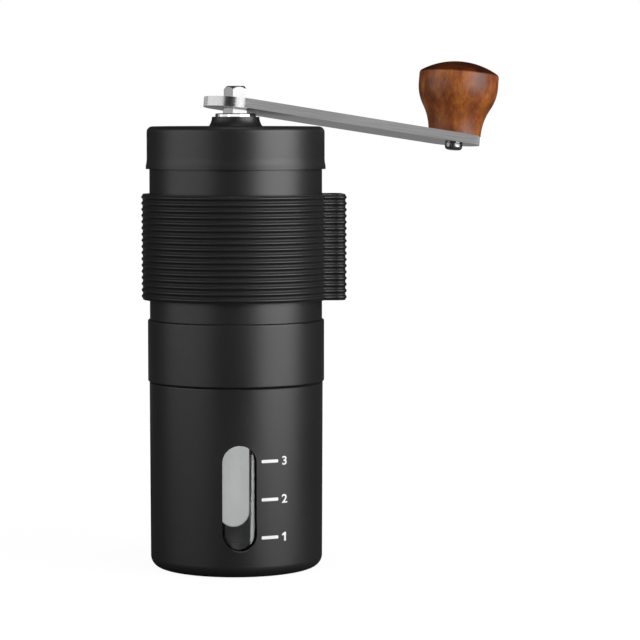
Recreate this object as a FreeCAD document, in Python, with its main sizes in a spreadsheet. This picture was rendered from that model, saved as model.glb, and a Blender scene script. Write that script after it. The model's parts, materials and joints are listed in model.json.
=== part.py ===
import FreeCAD, Part
import math
import os
import re

import Sketcher

# Hand crank coffee grinder in millimetres, +Z up, standing on its jar.
# The origin is the middle of the jar's flat base, and the front window faces -Y.

SIZES = {
    # Clearances: turning fits, pressed fits, sliding fits and the fine seams between shells
    "run_gap": 0.05,
    "press_gap": 0.02,
    "slide_gap": 0.2,
    "seam_gap": 0.1,
    # Jar: black shell with two slot windows, clear liner, seal on the liner's rim
    "jar_height": 58.1,
    "jar_radius": 26.85,
    "jar_flare": 0.2,
    "jar_wall": 1.6,
    "jar_floor": 1.8,
    "base_round": 3.5,
    "edge_round": 0.5,
    "window_width": 10.5,
    "window_height": 32.5,
    "window_level": 24.45,
    "liner_wall": 1.5,
    "liner_floor": 1.5,
    "neck_height": 7.4,
    "seal_height": 1.0,
    # Collar between the jar and the tube
    "collar_wall": 2.15,
    "collar_height": 19.3,
    "socket_wall": 1.65,
    "flange_height": 2.0,
    # Tube that holds the beans
    "spigot_wall": 1.4,
    "tube_wall": 2.45,
    "tube_height": 46.5,
    "tube_neck_wall": 1.2,
    # Ribbed sleeve on the tube, with a pocket loop for the crank bar
    "sleeve_rise": 6.2,
    "sleeve_drop": 7.6,
    "sleeve_wall": 2.1,
    "rib_depth": 0.35,
    "rib_width": 1.1,
    "rib_count": 17,
    "loop_backing": 1.4,
    "loop_wall": 1.6,
    "loop_play": 1.15,
    "loop_round": 3.0,
    # Lid, its seal and the bush that guides the shaft
    "lid_wall": 1.85,
    "lid_flare": 0.3,
    "lid_rim": 1.0,
    "lid_flare_height": 2.4,
    "lid_height": 13.2,
    "lid_top": 2.2,
    "lid_round": 1.8,
    "lid_seal_height": 1.2,
    "boss_height": 2.95,
    "boss_rim": 1.05,
    "boss_flare": 1.0,
    "boss_sweep": 5.0,
    "lid_socket_depth": 5.6,
    "lid_socket_wall": 1.6,
    "lid_bush_gap": 0.3,
    "lid_bush_wall": 1.1,
    "lid_bush_flange": 0.95,
    "lid_bush_rise": 1.05,
    "lid_bush_round": 0.4,
    # Burr housing in the collar, with the fixed ring burr
    "web_rise": 8.0,
    "web_height": 2.0,
    "skirt_wall": 1.7,
    "seat_wall": 2.2,
    "lip_height": 1.2,
    "lip_width": 1.4,
    "screw_land": 3.88,
    "ring_burr_height": 10.8,
    "ring_mouth_wall": 2.1,
    "ring_flutes": 12,
    "ring_flute_radius": 0.9,
    "ring_flute_lean": 12.0,
    # Turning burr cone, its carrier and the dial that sets it
    "burr_gap": 0.45,
    "burr_radius": 12.0,
    "burr_waist_radius": 9.8,
    "burr_tip_radius": 7.4,
    "burr_drop": 0.2,
    "burr_land": 2.4,
    "burr_bevel": 0.6,
    "burr_waist_rise": 5.95,
    "burr_tip_rise": 7.05,
    "burr_flutes": 10,
    "burr_flute_radius": 1.1,
    "burr_flute_depth": 0.6,
    "burr_flute_lean": 18.0,
    "carrier_wall": 1.5,
    "carrier_step": 1.0,
    "carrier_flange": 1.5,
    "nut_radius": 9.0,
    "nut_height": 5.0,
    "nut_scallops": 12,
    "scallop_radius": 1.6,
    "scallop_depth": 0.7,
    # Bearing bridge: funnel ring, spokes and hub with two bushes
    "funnel_rise": 7.5,
    "funnel_edge": 1.4,
    "hub_rise": 14.0,
    "hub_height": 11.0,
    "hub_wall": 2.0,
    "spoke_width": 3.2,
    "spoke_inset": 1.0,
    "spoke_foot": 2.0,
    "spoke_count": 3,
    "bush_wall": 1.45,
    "bush_length": 4.5,
    "bush_flange": 1.0,
    "bush_lip": 1.2,
    # Small screws of the bridge and the burr housing
    "screw_radius": 1.0,
    "screw_head_radius": 1.8,
    "screw_head_height": 1.2,
    "screw_grip": 2.0,
    "screw_bite": 4.5,
    "screw_boss_wall": 1.25,
    "recess_depth": 0.7,
    "recess_width": 0.5,
    # Drive shaft with its clip, washers and spring
    "shaft_radius": 4.0,
    "head_step": 0.3,
    "head_gap": 0.1,
    "head_height": 7.7,
    "head_bevel": 1.0,
    "seat_rise": 0.8,
    "flat_depth": 0.8,
    "thread_step": 1.0,
    "thread_tail": 2.0,
    "thread_relief": 1.3,
    "tip_bevel": 0.5,
    "shoulder_height": 2.0,
    "washer_height": 0.6,
    "clip_height": 1.0,
    "clip_width": 2.0,
    "groove_depth": 0.6,
    "spring_washer_height": 0.8,
    "spring_washer_width": 2.8,
    "spring_clearance": 0.6,
    "spring_wire_radius": 0.5,
    "spring_turns": 3.5,
    # Crank: flat bar, wooden knob, bolt, insert and washer
    "crank_length": 98.6,
    "crank_azimuth": 39.4,
    "crank_slope": 6.27,
    "arm_radius": 9.3,
    "arm_thickness": 3.0,
    "arm_overhang": 1.0,
    "knob_foot_radius": 8.85,
    "knob_radius": 13.4,
    "knob_waist": 16.7,
    "knob_turn": 0.557,
    "knob_shoulder_rise": 3.25,
    "knob_shoulder": 1.3,
    "knob_crown": 3.4,
    "knob_washer_width": 3.4,
    "knob_washer_height": 0.6,
    "bolt_radius": 2.5,
    "bolt_thread_step": 0.5,
    "bolt_head_radius": 2.95,
    "bolt_head_height": 2.0,
    "bolt_head_round": 1.1,
    "bolt_bite": 10.0,
    "insert_wall": 1.8,
    "insert_length": 12.0,
    "bolt_recess_depth": 1.1,
    "bolt_recess_width": 0.45,
}

doc = FreeCAD.newDocument("hand_grinder")
sheet = doc.addObject("Spreadsheet::Sheet", "Sizes")
for line, (alias, number) in enumerate(SIZES.items(), start=1):
    sheet.set(f"A{line}", alias)
    sheet.set(f"B{line}", str(number))
    sheet.setAlias(f"B{line}", alias)
doc.recompute()

# Radii worked out from the jar outwards and upwards
JAR_TOP_RADIUS = "(jar_radius + jar_flare)"
JAR_BORE = "(jar_radius - jar_wall)"
LINER_RADIUS = f"({JAR_BORE} - seam_gap)"
LINER_BORE = f"({LINER_RADIUS} - liner_wall)"
COLLAR_BORE = f"({LINER_RADIUS} + slide_gap)"
COLLAR_RADIUS = f"({COLLAR_BORE} + collar_wall)"
SOCKET_RADIUS = f"({COLLAR_RADIUS} - socket_wall)"
SPIGOT_RADIUS = f"({SOCKET_RADIUS} - run_gap)"
TUBE_BORE = f"({SPIGOT_RADIUS} - spigot_wall)"
TUBE_RADIUS = f"({TUBE_BORE} + tube_wall)"
TUBE_NECK_RADIUS = f"({TUBE_BORE} + tube_neck_wall)"
LID_BORE = f"({TUBE_NECK_RADIUS} + slide_gap)"
LID_RADIUS = f"({LID_BORE} + lid_wall)"
SLEEVE_BORE = f"({TUBE_RADIUS} + run_gap)"
SLEEVE_RADIUS = f"({SLEEVE_BORE} + sleeve_wall)"
SLOT_IN = f"({SLEEVE_BORE} + loop_backing)"
SLOT_OUT = f"({SLOT_IN} + arm_thickness + loop_play)"
SLOT_HALF = "(arm_radius + slide_gap)"
LOOP_FACE = f"({SLOT_OUT} + loop_wall)"
LOOP_HALF = f"({SLOT_HALF} + loop_wall)"
HOUSING_RADIUS = f"({TUBE_BORE} - seam_gap)"
SKIRT_BORE = f"({HOUSING_RADIUS} - skirt_wall)"
SEAT_RADIUS = f"({SKIRT_BORE} - screw_land)"
SEAT_BORE = f"({SEAT_RADIUS} - seat_wall)"
RING_RADIUS = f"({SEAT_BORE} - press_gap)"
LIP_BORE = f"({SEAT_BORE} - lip_width)"
FLANGE_BORE = f"({SEAT_RADIUS} + slide_gap)"
SCREW_CIRCLE = f"(({SEAT_RADIUS} + {SKIRT_BORE}) / 2)"
SCREW_HOLE = "(screw_radius + run_gap)"
SCREW_BOSS = f"({SCREW_HOLE} + screw_boss_wall)"
FUNNEL_BORE = f"({RING_RADIUS} - ring_mouth_wall)"

# Radii worked out from the shaft outwards
SHAFT_BORE = "(shaft_radius + run_gap)"
BUSH_RADIUS = f"({SHAFT_BORE} + bush_wall)"
BUSH_FLANGE_RADIUS = f"({BUSH_RADIUS} + bush_lip)"
HUB_BORE = f"({BUSH_RADIUS} + press_gap)"
HUB_RADIUS = f"({HUB_BORE} + hub_wall)"
HEAD_RADIUS = "(shaft_radius - head_step)"
THREAD_RADIUS = "(shaft_radius - thread_step)"
FLAT_HALF = "(shaft_radius - flat_depth)"
GROOVE_RADIUS = "(shaft_radius - groove_depth)"
SPRING_RADIUS = "(shaft_radius + spring_clearance + spring_wire_radius)"
SHOULDER_RADIUS = f"({SPRING_RADIUS} + spring_wire_radius)"
CARRIER_RADIUS = f"({SHAFT_BORE} + carrier_wall)"
BURR_BORE = f"({CARRIER_RADIUS} + press_gap)"
LID_BUSH_BORE = "(shaft_radius + lid_bush_gap)"
LID_BUSH_RADIUS = f"({LID_BUSH_BORE} + lid_bush_wall)"
LID_BUSH_HOLE = f"({LID_BUSH_RADIUS} + press_gap)"
LID_FLANGE_RADIUS = f"({LID_BUSH_RADIUS} + lid_bush_flange)"
BOSS_RADIUS = f"({LID_FLANGE_RADIUS} + boss_rim)"
LID_SOCKET_RADIUS = f"({LID_BUSH_HOLE} + lid_socket_wall)"

# Levels worked out from the jar's base upwards
LINER_LOW = "jar_floor"
LINER_TOP = "(jar_height + neck_height)"
SEAL_TOP = f"({LINER_TOP} + seal_height)"
COLLAR_LOW = "(jar_height + seam_gap)"
COLLAR_TOP = f"({COLLAR_LOW} + collar_height)"
FLANGE_LOW = f"({SEAL_TOP} + run_gap)"
FLANGE_TOP = f"({FLANGE_LOW} + flange_height)"
TUBE_LOW = f"({COLLAR_TOP} + seam_gap)"
TUBE_TOP = f"({TUBE_LOW} + tube_height)"
SLEEVE_LOW = f"({TUBE_LOW} + sleeve_rise)"
SLEEVE_HEIGHT = "(tube_height - sleeve_rise - sleeve_drop)"
RIB_PITCH = f"({SLEEVE_HEIGHT} / rib_count)"
LID_LOW = f"({TUBE_TOP} + seam_gap)"
LID_TOP = f"({LID_LOW} + lid_height)"
LID_UNDER = f"({LID_TOP} - lid_top)"
LID_SEAL_LOW = f"({LID_UNDER} - lid_seal_height)"
TUBE_RIM = f"({LID_SEAL_LOW} - run_gap)"
LID_SOCKET_LOW = f"({LID_UNDER} - lid_socket_depth)"
BOSS_TOP = f"({LID_TOP} + boss_height)"
LID_BUSH_TOP = f"({BOSS_TOP} + lid_bush_rise)"
WEB_TOP = f"({FLANGE_TOP} + web_rise)"
WEB_LOW = f"({WEB_TOP} - web_height)"
RING_LOW = f"({WEB_TOP} - ring_burr_height)"
HOUSING_LOW = f"({RING_LOW} - lip_height)"
HUB_LOW = f"({WEB_TOP} + hub_rise)"
HUB_TOP = f"({HUB_LOW} + hub_height)"
SHOULDER_TOP = f"({HUB_LOW} - bush_flange - run_gap)"
SHOULDER_LOW = f"({SHOULDER_TOP} - shoulder_height)"
WASHER_LOW = f"({HUB_TOP} + bush_flange)"
CLIP_LOW = f"({WASHER_LOW} + washer_height + run_gap)"
CLIP_TOP = f"({CLIP_LOW} + clip_height)"
LAND_TOP = f"({RING_LOW} - burr_drop)"
LAND_LOW = f"({LAND_TOP} - burr_land)"
BURR_LOW = f"({LAND_LOW} - burr_bevel)"
BURR_WAIST = f"({LAND_TOP} + burr_waist_rise)"
BURR_TOP = f"({BURR_WAIST} + burr_tip_rise)"
SPRING_LOW = f"({BURR_TOP} + spring_washer_height)"
CARRIER_LOW = f"({BURR_LOW} - carrier_flange)"
NUT_LOW = f"({CARRIER_LOW} - nut_height)"
SHAFT_LOW = f"({NUT_LOW} - thread_tail)"
DRIVE_LOW = f"({CARRIER_LOW} + thread_relief)"
SEAT_LEVEL = f"({LID_BUSH_TOP} + seat_rise)"
SHAFT_TOP = f"({SEAT_LEVEL} + head_height)"
NECK_LEVEL = f"({BOSS_TOP} - seat_rise)"
ARM_LEVEL = f"({SEAT_LEVEL} + shaft_radius * tan(crank_slope) + press_gap)"

# Crank: the knob's own frame stands on the underside of the bar, square to it
KNOB_X = "(crank_length * cos(crank_slope) * cos(crank_azimuth))"
KNOB_Y = "(crank_length * cos(crank_slope) * sin(crank_azimuth))"
KNOB_Z = f"({ARM_LEVEL} - crank_length * sin(crank_slope))"
WASHER_BASE = "(arm_thickness + press_gap)"
KNOB_BASE = f"({WASHER_BASE} + knob_washer_height)"
KNOB_FOOT = "(arm_thickness + seam_gap)"
BOLT_THREAD_RADIUS = "(bolt_radius - bolt_thread_step)"
BOLT_HOLE = "(bolt_radius + run_gap)"
INSERT_RADIUS = "(bolt_radius + insert_wall)"
KNOB_WASHER_RADIUS = f"({BOLT_HOLE} + knob_washer_width)"

FULL_TURN = 360.0


def formula(text):
    """The text with every size name pointed at its cell."""
    return re.sub(r"[a-z]+_\w+", lambda name: f"Sizes.{name.group(0)}", text)


def value(text):
    """The number that the text gives with the sheet's sizes."""
    return float(sheet.evalExpression(formula(text)))


def bind(thing, name, text):
    """Ties one property to the sheet."""
    thing.setExpression(name, formula(text))


def place(thing, x="0", y="0", z="0", yaw="0", pitch="0", roll="0"):
    """Ties a placement to the sheet: a spot, then turns about Z, Y and X."""
    spot = f"create(<<vector>>; {x}; {y}; {z})"
    turn = f"create(<<rotation>>; {yaw}; {pitch}; {roll})"
    bind(thing, "Placement", f"create(<<placement>>; {spot}; {turn})")


def origin_of(body, role):
    """One of a body's own base planes or axes."""
    return next(item for item in body.Origin.OriginFeatures if item.Role == role)


def new_body(label):
    """An empty body that becomes one sub-part."""
    return doc.addObject("PartDesign::Body", label)


def new_sketch(body, role, level="0"):
    """A sketch on one of the body's base planes, raised to a level."""
    sketch = body.newObject("Sketcher::SketchObject", f"{body.Label}_sketch")
    sketch.AttachmentSupport = [(origin_of(body, role), "")]
    sketch.MapMode = "FlatFace"
    bind(sketch, "AttachmentOffset.Base.z", level)
    return sketch


def pin(sketch, piece, spot, x, y):
    """Ties one point of a sketch to two distances from its origin."""
    for kind, text, axis in (("DistanceX", x, -2), ("DistanceY", y, -1)):
        if text == "0":
            sketch.addConstraint(Sketcher.Constraint("PointOnObject", piece, spot, axis))
            continue
        row = sketch.addConstraint(Sketcher.Constraint(kind, -1, 1, piece, spot, value(text)))
        bind(sketch, f"Constraints[{row}]", text)


def tie_radius(sketch, piece, text):
    """Ties the radius of an arc or a circle."""
    row = sketch.addConstraint(Sketcher.Constraint("Radius", piece, value(text)))
    bind(sketch, f"Constraints[{row}]", text)


def draw_arc(sketch, start, end, radius, leftward):
    """An arc of under half a circle, which keeps its middle to the left or right of travel."""
    chord = end - start
    side = FreeCAD.Vector(-chord.y, chord.x, 0).normalize()
    reach = math.sqrt(radius ** 2 - (chord.Length / 2) ** 2)
    middle = (start + end) / 2 + side * (reach if leftward else -reach)
    first, last = (start, end) if leftward else (end, start)
    angles = [math.atan2(spot.y - middle.y, spot.x - middle.x) for spot in (first, last)]
    circle = Part.Circle(middle, FreeCAD.Vector(0, 0, 1), radius)
    sketch.addGeometry(Part.ArcOfCircle(circle, *angles))


def draw_outline(sketch, corners):
    """A closed outline through (x, y) corners; a third entry bends the run to the next corner.

    The bend is a radius, turning left where it is positive and right where it has a minus sign.
    """
    spots = [FreeCAD.Vector(value(corner[0]), value(corner[1]), 0) for corner in corners]
    first = sketch.GeometryCount
    ends = []
    for index, corner in enumerate(corners):
        start = spots[index]
        end = spots[(index + 1) % len(spots)]
        if len(corner) == 2:
            sketch.addGeometry(Part.LineSegment(start, end))
            ends.append((1, 2))
            continue
        leftward = not corner[2].startswith("-")
        draw_arc(sketch, start, end, value(corner[2].lstrip("-")), leftward)
        ends.append((1, 2) if leftward else (2, 1))
    for index, corner in enumerate(corners):
        following = (index + 1) % len(corners)
        joint = (first + index, ends[index][1], first + following, ends[following][0])
        sketch.addConstraint(Sketcher.Constraint("Coincident", *joint))
    for index, corner in enumerate(corners):
        pin(sketch, first + index, ends[index][0], corner[0], corner[1])
        if len(corner) == 3:
            tie_radius(sketch, first + index, corner[2].lstrip("-"))


def draw_circle(sketch, radius, x="0", y="0"):
    """A circle about a point."""
    middle = FreeCAD.Vector(value(x), value(y), 0)
    piece = sketch.addGeometry(Part.Circle(middle, FreeCAD.Vector(0, 0, 1), value(radius)))
    pin(sketch, piece, 3, x, y)
    tie_radius(sketch, piece, radius)


def box_corners(x_low, x_high, y_low, y_high):
    """The corners of a rectangle, anticlockwise."""
    return [(x_low, y_low), (x_high, y_low), (x_high, y_high), (x_low, y_high)]


def slot_corners(low, high, radius, upright=False):
    """The outline of a slot with round ends, whose end centres lie at low and high along X or Y."""
    run = [
        (high, f"-{radius}", radius),
        (f"({high} + {radius})", "0", radius),
        (high, radius),
        (low, radius, radius),
        (f"({low} - {radius})", "0", radius),
        (low, f"-{radius}"),
    ]
    if not upright:
        return run
    return [(y, x, *(f"-{bend}" for bend in bends)) for x, y, *bends in run]


def revolve(body, corners, kind="Revolution"):
    """Turns a profile of (radius, level) corners about the body's own Z axis."""
    sketch = new_sketch(body, "XZ_Plane")
    draw_outline(sketch, corners)
    feature = body.newObject(f"PartDesign::{kind}", f"{body.Label}_turned")
    feature.Profile = sketch
    feature.ReferenceAxis = (sketch, ["V_Axis"])
    feature.Angle = FULL_TURN
    return feature


def extrude(body, sketch, kind, length, both_ways=False, reverse=False):
    """Pads a sketch upwards or pockets it downwards, or both ways from its middle."""
    feature = body.newObject(f"PartDesign::{kind}", f"{body.Label}_{kind.lower()}")
    feature.Profile = sketch
    feature.Reversed = reverse
    if both_ways:
        feature.SideType = "Symmetric"
    bind(feature, "Length", length)
    return feature


def repeat_round(body, features, count):
    """Copies features evenly about the body's Z axis."""
    pattern = body.newObject("PartDesign::PolarPattern", f"{body.Label}_round")
    pattern.Originals = features
    pattern.Axis = (origin_of(body, "Z_Axis"), [""])
    pattern.Angle = FULL_TURN
    bind(pattern, "Occurrences", count)
    body.Tip = pattern
    return pattern


def ring(label, bore, radius, low, high):
    """A plain ring, such as a washer or a seal."""
    body = new_body(label)
    revolve(body, box_corners(bore, radius, low, high))
    return body


def cross_corners(reach, width):
    """The outline of a cross recess."""
    near = f"({width})"
    far = f"({reach})"
    quarter = [(far, near), (near, near), (near, far)]
    corners = []
    for x_sign, y_sign in (("", ""), ("-", ""), ("-", "-"), ("", "-")):
        turn = [(f"{x_sign}{x}", f"{y_sign}{y}") for x, y in quarter]
        corners += turn if x_sign == y_sign else turn[::-1]
    return corners


def flats_corners(radius, half):
    """The outline of a round bar with two flats."""
    side = f"sqrt({radius}^2 - {half}^2)"
    return [(half, f"-{side}"), (half, side, radius), (f"-{half}", side), (f"-{half}", f"-{side}", radius)]


def make_jar_shell():
    """Black jar with rounded base and a slot window in front and behind."""
    body = new_body("jar_shell")
    revolve(body, [
        ("0", "0"),
        ("jar_radius - base_round", "0", "base_round"),
        ("jar_radius", "base_round"),
        (JAR_TOP_RADIUS, "jar_height - edge_round", "edge_round"),
        (f"{JAR_TOP_RADIUS} - edge_round", "jar_height"),
        (JAR_BORE, "jar_height"),
        (JAR_BORE, "jar_floor"),
        ("0", "jar_floor"),
    ])
    window = new_sketch(body, "XZ_Plane")
    half = "(window_width / 2)"
    low = f"(window_level - window_height / 2 + {half})"
    high = f"(window_level + window_height / 2 - {half})"
    draw_outline(window, slot_corners(low, high, half, upright=True))
    extrude(body, window, "Pocket", "4 * jar_radius", both_ways=True)
    return body


def make_jar_liner():
    """Clear cup inside the jar; its neck screws into the collar."""
    body = new_body("jar_liner")
    revolve(body, [
        ("0", LINER_LOW),
        (LINER_RADIUS, LINER_LOW),
        (LINER_RADIUS, LINER_TOP),
        (LINER_BORE, LINER_TOP),
        (LINER_BORE, f"{LINER_LOW} + liner_floor"),
        ("0", f"{LINER_LOW} + liner_floor"),
    ])
    return body


def make_collar():
    """Ring that takes the jar's neck from below and the tube's spigot from above."""
    body = new_body("collar")
    revolve(body, [
        (COLLAR_BORE, COLLAR_LOW),
        (f"{COLLAR_RADIUS} - edge_round", COLLAR_LOW, "edge_round"),
        (COLLAR_RADIUS, f"{COLLAR_LOW} + edge_round"),
        (COLLAR_RADIUS, f"{COLLAR_TOP} - edge_round", "edge_round"),
        (f"{COLLAR_RADIUS} - edge_round", COLLAR_TOP),
        (SOCKET_RADIUS, COLLAR_TOP),
        (SOCKET_RADIUS, FLANGE_TOP),
        (FLANGE_BORE, FLANGE_TOP),
        (FLANGE_BORE, FLANGE_LOW),
        (COLLAR_BORE, FLANGE_LOW),
    ])
    holes = new_sketch(body, "XY_Plane", FLANGE_TOP)
    draw_circle(holes, SCREW_HOLE, SCREW_CIRCLE)
    pocket = extrude(body, holes, "Pocket", "flange_height")
    repeat_round(body, [pocket], "spoke_count")
    return body


def make_hopper_tube():
    """Upper tube: spigot below, plain wall, and a stepped neck for the lid."""
    body = new_body("hopper_tube")
    revolve(body, [
        (TUBE_BORE, FLANGE_TOP),
        (SPIGOT_RADIUS, FLANGE_TOP),
        (SPIGOT_RADIUS, TUBE_LOW),
        (TUBE_RADIUS, TUBE_LOW),
        (TUBE_RADIUS, TUBE_TOP),
        (TUBE_NECK_RADIUS, TUBE_TOP),
        (TUBE_NECK_RADIUS, TUBE_RIM),
        (TUBE_BORE, TUBE_RIM),
    ])
    return body


def sleeve_sketch(body, level, proud):
    """The sleeve's section: round wall with a square loop on the +X side, bore and slot."""
    radius = f"({SLEEVE_RADIUS} + {proud})"
    half = f"({LOOP_HALF} + {proud})"
    face = f"({LOOP_FACE} + {proud})"
    bend = f"(loop_round + {proud})"
    root = f"sqrt({radius}^2 - {half}^2)"
    sketch = new_sketch(body, "XY_Plane", level)
    draw_outline(sketch, [
        (root, f"-{half}"),
        (f"({face} - {bend})", f"-{half}", bend),
        (face, f"-({half} - {bend})"),
        (face, f"({half} - {bend})", bend),
        (f"({face} - {bend})", half),
        (root, half, radius),
        (f"-{radius}", "0", radius),
    ])
    draw_circle(sketch, SLEEVE_BORE)
    draw_outline(sketch, box_corners(SLOT_IN, SLOT_OUT, f"-{SLOT_HALF}", SLOT_HALF))
    return sketch


def make_hand_sleeve():
    """Silicone sleeve with raised ribs all round and a pocket loop for the crank bar."""
    body = new_body("hand_sleeve")
    extrude(body, sleeve_sketch(body, SLEEVE_LOW, "0"), "Pad", SLEEVE_HEIGHT)
    first_rib = f"({SLEEVE_LOW} + ({RIB_PITCH} - rib_width) / 2)"
    rib = extrude(body, sleeve_sketch(body, first_rib, "rib_depth"), "Pad", "rib_width")
    pattern = body.newObject("PartDesign::LinearPattern", "hand_sleeve_ribs")
    pattern.Originals = [rib]
    pattern.Direction = (origin_of(body, "Z_Axis"), [""])
    bind(pattern, "Length", f"{RIB_PITCH} * (rib_count - 1)")
    bind(pattern, "Occurrences", "rib_count")
    body.Tip = pattern
    return body


def make_lid():
    """Push-on cap: flared skirt, rounded top, boss above and socket below for the bush."""
    body = new_body("lid")
    sweep = "((lid_flare_height^2 + lid_flare^2) / (2 * lid_flare))"
    revolve(body, [
        (LID_BORE, LID_LOW),
        (f"{LID_RADIUS} + lid_flare", LID_LOW),
        (f"{LID_RADIUS} + lid_flare", f"{LID_LOW} + lid_rim", f"-{sweep}"),
        (LID_RADIUS, f"{LID_LOW} + lid_rim + lid_flare_height"),
        (LID_RADIUS, f"{LID_TOP} - lid_round", "lid_round"),
        (f"{LID_RADIUS} - lid_round", LID_TOP),
        (f"{BOSS_RADIUS} + boss_flare", LID_TOP, "-boss_sweep"),
        (BOSS_RADIUS, f"{BOSS_TOP} - edge_round"),
        (BOSS_RADIUS, BOSS_TOP),
        (LID_BUSH_HOLE, BOSS_TOP),
        (LID_BUSH_HOLE, LID_SOCKET_LOW),
        (LID_SOCKET_RADIUS, LID_SOCKET_LOW),
        (LID_SOCKET_RADIUS, LID_UNDER),
        (LID_BORE, LID_UNDER),
    ])
    return body


def make_lid_bush():
    """Polished bush in the lid's boss, with a flange on top."""
    body = new_body("lid_bush")
    revolve(body, [
        (LID_BUSH_BORE, LID_SOCKET_LOW),
        (LID_BUSH_RADIUS, LID_SOCKET_LOW),
        (LID_BUSH_RADIUS, BOSS_TOP),
        (LID_FLANGE_RADIUS, BOSS_TOP),
        (LID_FLANGE_RADIUS, f"{LID_BUSH_TOP} - lid_bush_round", "lid_bush_round"),
        (f"{LID_FLANGE_RADIUS} - lid_bush_round", LID_BUSH_TOP),
        (LID_BUSH_BORE, LID_BUSH_TOP),
    ])
    return body


def screw_spot(between):
    """Where a screw stands on its circle: on a spoke's line, or midway between two."""
    if not between:
        return SCREW_CIRCLE, "0"
    angle = "(180 / spoke_count)"
    return f"({SCREW_CIRCLE} * cos{angle})", f"({SCREW_CIRCLE} * sin{angle})"


def make_burr_housing():
    """Seat for the ring burr, with a web, an outer skirt and screw bosses between them."""
    body = new_body("burr_housing")
    revolve(body, [
        (LIP_BORE, HOUSING_LOW),
        (SEAT_RADIUS, HOUSING_LOW),
        (SEAT_RADIUS, WEB_LOW),
        (SKIRT_BORE, WEB_LOW),
        (SKIRT_BORE, FLANGE_TOP),
        (HOUSING_RADIUS, FLANGE_TOP),
        (HOUSING_RADIUS, WEB_TOP),
        (SEAT_BORE, WEB_TOP),
        (SEAT_BORE, RING_LOW),
        (LIP_BORE, RING_LOW),
    ])
    bosses = new_sketch(body, "XY_Plane", FLANGE_TOP)
    for between in (False, True):
        draw_circle(bosses, SCREW_BOSS, *screw_spot(between))
    pad = extrude(body, bosses, "Pad", f"{WEB_LOW} - {FLANGE_TOP}")
    repeat_round(body, [pad], "spoke_count")
    below = new_sketch(body, "XY_Plane", f"{FLANGE_TOP} + screw_bite")
    draw_circle(below, SCREW_HOLE, *screw_spot(between=False))
    lower_hole = extrude(body, below, "Pocket", "screw_bite")
    above = new_sketch(body, "XY_Plane", WEB_TOP)
    draw_circle(above, SCREW_HOLE, *screw_spot(between=True))
    upper_hole = extrude(body, above, "Pocket", "screw_bite")
    repeat_round(body, [lower_hole, upper_hole], "spoke_count")
    return body


def make_ring_burr():
    """Fixed burr: wide mouth above, narrow waist, and a cone that opens downwards, with leaning flutes."""
    body = new_body("ring_burr")
    revolve(body, [
        ("burr_radius + burr_gap", RING_LOW),
        (RING_RADIUS, RING_LOW),
        (RING_RADIUS, WEB_TOP),
        (FUNNEL_BORE, WEB_TOP),
        ("burr_waist_radius + burr_gap", BURR_WAIST),
    ])
    flute = body.newObject("PartDesign::SubtractiveCylinder", "ring_burr_flute")
    bind(flute, "Radius", "ring_flute_radius")
    bind(flute, "Height", "2 * ring_burr_height")
    place(
        flute,
        x="(burr_radius + burr_gap - ring_flute_radius / 2)",
        y="(ring_burr_height * sin(ring_flute_lean))",
        z=f"(({RING_LOW} + {WEB_TOP}) / 2 - ring_burr_height * cos(ring_flute_lean))",
        roll="ring_flute_lean",
    )
    repeat_round(body, [flute], "ring_flutes")
    return body


def make_inner_burr():
    """Turning burr cone with leaning flutes, bored for its carrier."""
    body = new_body("inner_burr")
    revolve(body, [
        (BURR_BORE, BURR_LOW),
        ("burr_radius - burr_bevel", BURR_LOW),
        ("burr_radius", LAND_LOW),
        ("burr_radius", LAND_TOP),
        ("burr_waist_radius", BURR_WAIST),
        ("burr_tip_radius", BURR_TOP),
        (BURR_BORE, BURR_TOP),
    ])
    rise = f"({BURR_TOP} - {LAND_TOP})"
    fall = "(burr_radius - burr_tip_radius)"
    slant = f"sqrt({rise}^2 + {fall}^2)"
    lean = "burr_flute_lean"
    middle = "((burr_radius + burr_tip_radius) / 2 + burr_flute_radius - burr_flute_depth)"
    flute = body.newObject("PartDesign::SubtractiveCylinder", "inner_burr_flute")
    bind(flute, "Radius", "burr_flute_radius")
    bind(flute, "Height", f"2 * {slant}")
    place(
        flute,
        x=f"({middle} + {fall} * cos({lean}))",
        y=f"({slant} * sin({lean}))",
        z=f"(({BURR_TOP} + {LAND_TOP}) / 2 - {rise} * cos({lean}))",
        pitch=f"(-atan({fall} / {rise}) / 1deg)",
        roll=lean,
    )
    repeat_round(body, [flute], "burr_flutes")
    return body


def make_burr_carrier():
    """Plastic core of the turning burr, keyed to the shaft's flats, with a flange below."""
    body = new_body("burr_carrier")
    flange = "(burr_radius - carrier_step)"
    revolve(body, [
        ("0", CARRIER_LOW),
        (flange, CARRIER_LOW),
        (flange, BURR_LOW),
        (CARRIER_RADIUS, BURR_LOW),
        (CARRIER_RADIUS, BURR_TOP),
        ("0", BURR_TOP),
    ])
    key = new_sketch(body, "XY_Plane", BURR_TOP)
    draw_outline(key, flats_corners(SHAFT_BORE, f"({FLAT_HALF} + run_gap)"))
    extrude(body, key, "Pocket", f"{BURR_TOP} - {CARRIER_LOW}")
    return body


def make_adjusting_nut():
    """Dial on the shaft's threaded end, with finger scallops round its edge."""
    body = new_body("adjusting_nut")
    revolve(body, box_corners(f"({THREAD_RADIUS} + run_gap)", "nut_radius", NUT_LOW, CARRIER_LOW))
    scallop = new_sketch(body, "XY_Plane", CARRIER_LOW)
    draw_circle(scallop, "scallop_radius", "nut_radius + scallop_radius - scallop_depth")
    pocket = extrude(body, scallop, "Pocket", "nut_height")
    repeat_round(body, [pocket], "nut_scallops")
    return body


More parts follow.
